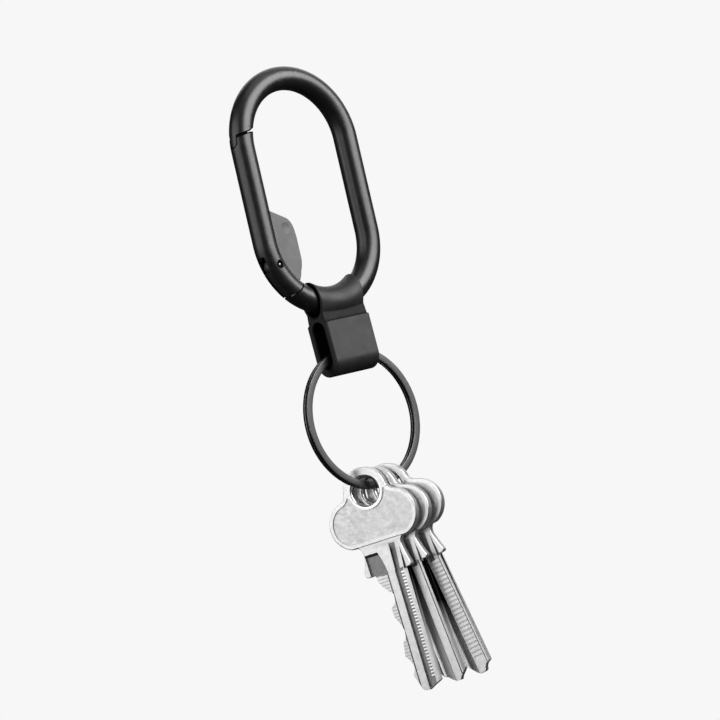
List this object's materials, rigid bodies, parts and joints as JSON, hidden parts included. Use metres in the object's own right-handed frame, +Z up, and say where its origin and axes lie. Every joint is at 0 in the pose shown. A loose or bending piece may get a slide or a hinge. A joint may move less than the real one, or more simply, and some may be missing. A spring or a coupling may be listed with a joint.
{
  "type": "key organiser",
  "caption": "Oval spring-gate carabiner with a soft keeper loop, a split ring and hanging metal door keys.",
  "frame": {"origin": "where the organiser hangs: the middle of the inner top of the carabiner's upper bow", "axes": "+Z up, +X across the carabiner away from its gate, -Y the front"},
  "size_m": [0.0398, 0.0254, 0.1594],
  "materials": {
    "black_rod": "satin black coating",
    "tab_grey": "matte grey coating",
    "pin_steel": "satin",
    "spring_steel": "bright",
    "keeper_soft": "matte moulded",
    "ring_black": "satin black coating",
    "key_nickel": "satin nickel plate"
  },
  "bodies": {
    "frame": {"carabiner_frame": "black_rod", "hinge_pin": "pin_steel"},
    "gate": {"gate": "black_rod", "gate_tab": "tab_grey", "gate_spring": "spring_steel"},
    "plunger": {"spring_plunger": "spring_steel"},
    "keeper": {"keeper_loop": "keeper_soft"},
    "ring": {"split_ring": "ring_black"},
    "key_1": {"key_1": "key_nickel"},
    "key_2": {"key_2": "key_nickel"},
    "key_3": {"key_3": "key_nickel"}
  },
  "joints": [
    {"name": "gate_hinge", "type": "hinge", "parent": "frame", "child": "gate", "pos_m": [-0.01579, 0, -0.04362], "axis": [0, 1, 0], "range_deg": [0, 18], "stiffness_Nm_per_rad": 0.08, "springref_deg": -20.05},
    {"name": "plunger_slide", "type": "slide", "parent": "gate", "child": "plunger", "axis": [0, 0, 1], "range_m": [0, 0.00025], "deforming": ["gate_spring"]},
    {"name": "keeper_turn", "type": "hinge", "parent": "frame", "child": "keeper", "pos_m": [0, 0, -0.03775], "axis": [0, 1, 0], "range_deg": [-60, 8]},
    {"name": "ring_swing", "type": "hinge", "parent": "keeper", "child": "ring", "pos_m": [0.00123, 0, -0.06842], "axis": [0.9992, 0, 0.0401], "range_deg": [-75, 75]},
    {"name": "key_1_swing", "type": "hinge", "parent": "ring", "child": "key_1", "pos_m": [-0.00297, 0, -0.10089], "axis": [-0.8934, -0.4493, 0], "range_deg": [-100, 100]},
    {"name": "key_2_swing", "type": "hinge", "parent": "ring", "child": "key_2", "pos_m": [0.0004, 0, -0.1014], "axis": [-0.8934, -0.4493, 0], "range_deg": [-100, 100]},
    {"name": "key_3_swing", "type": "hinge", "parent": "ring", "child": "key_3", "pos_m": [0.00435, 0, -0.10113], "axis": [-0.8934, -0.4493, 0], "range_deg": [-100, 100]}
  ],
  "couplings": [
    {"joint": "plunger_slide", "follows": "gate_hinge", "m_per_rad": 0.00078}
  ]
}
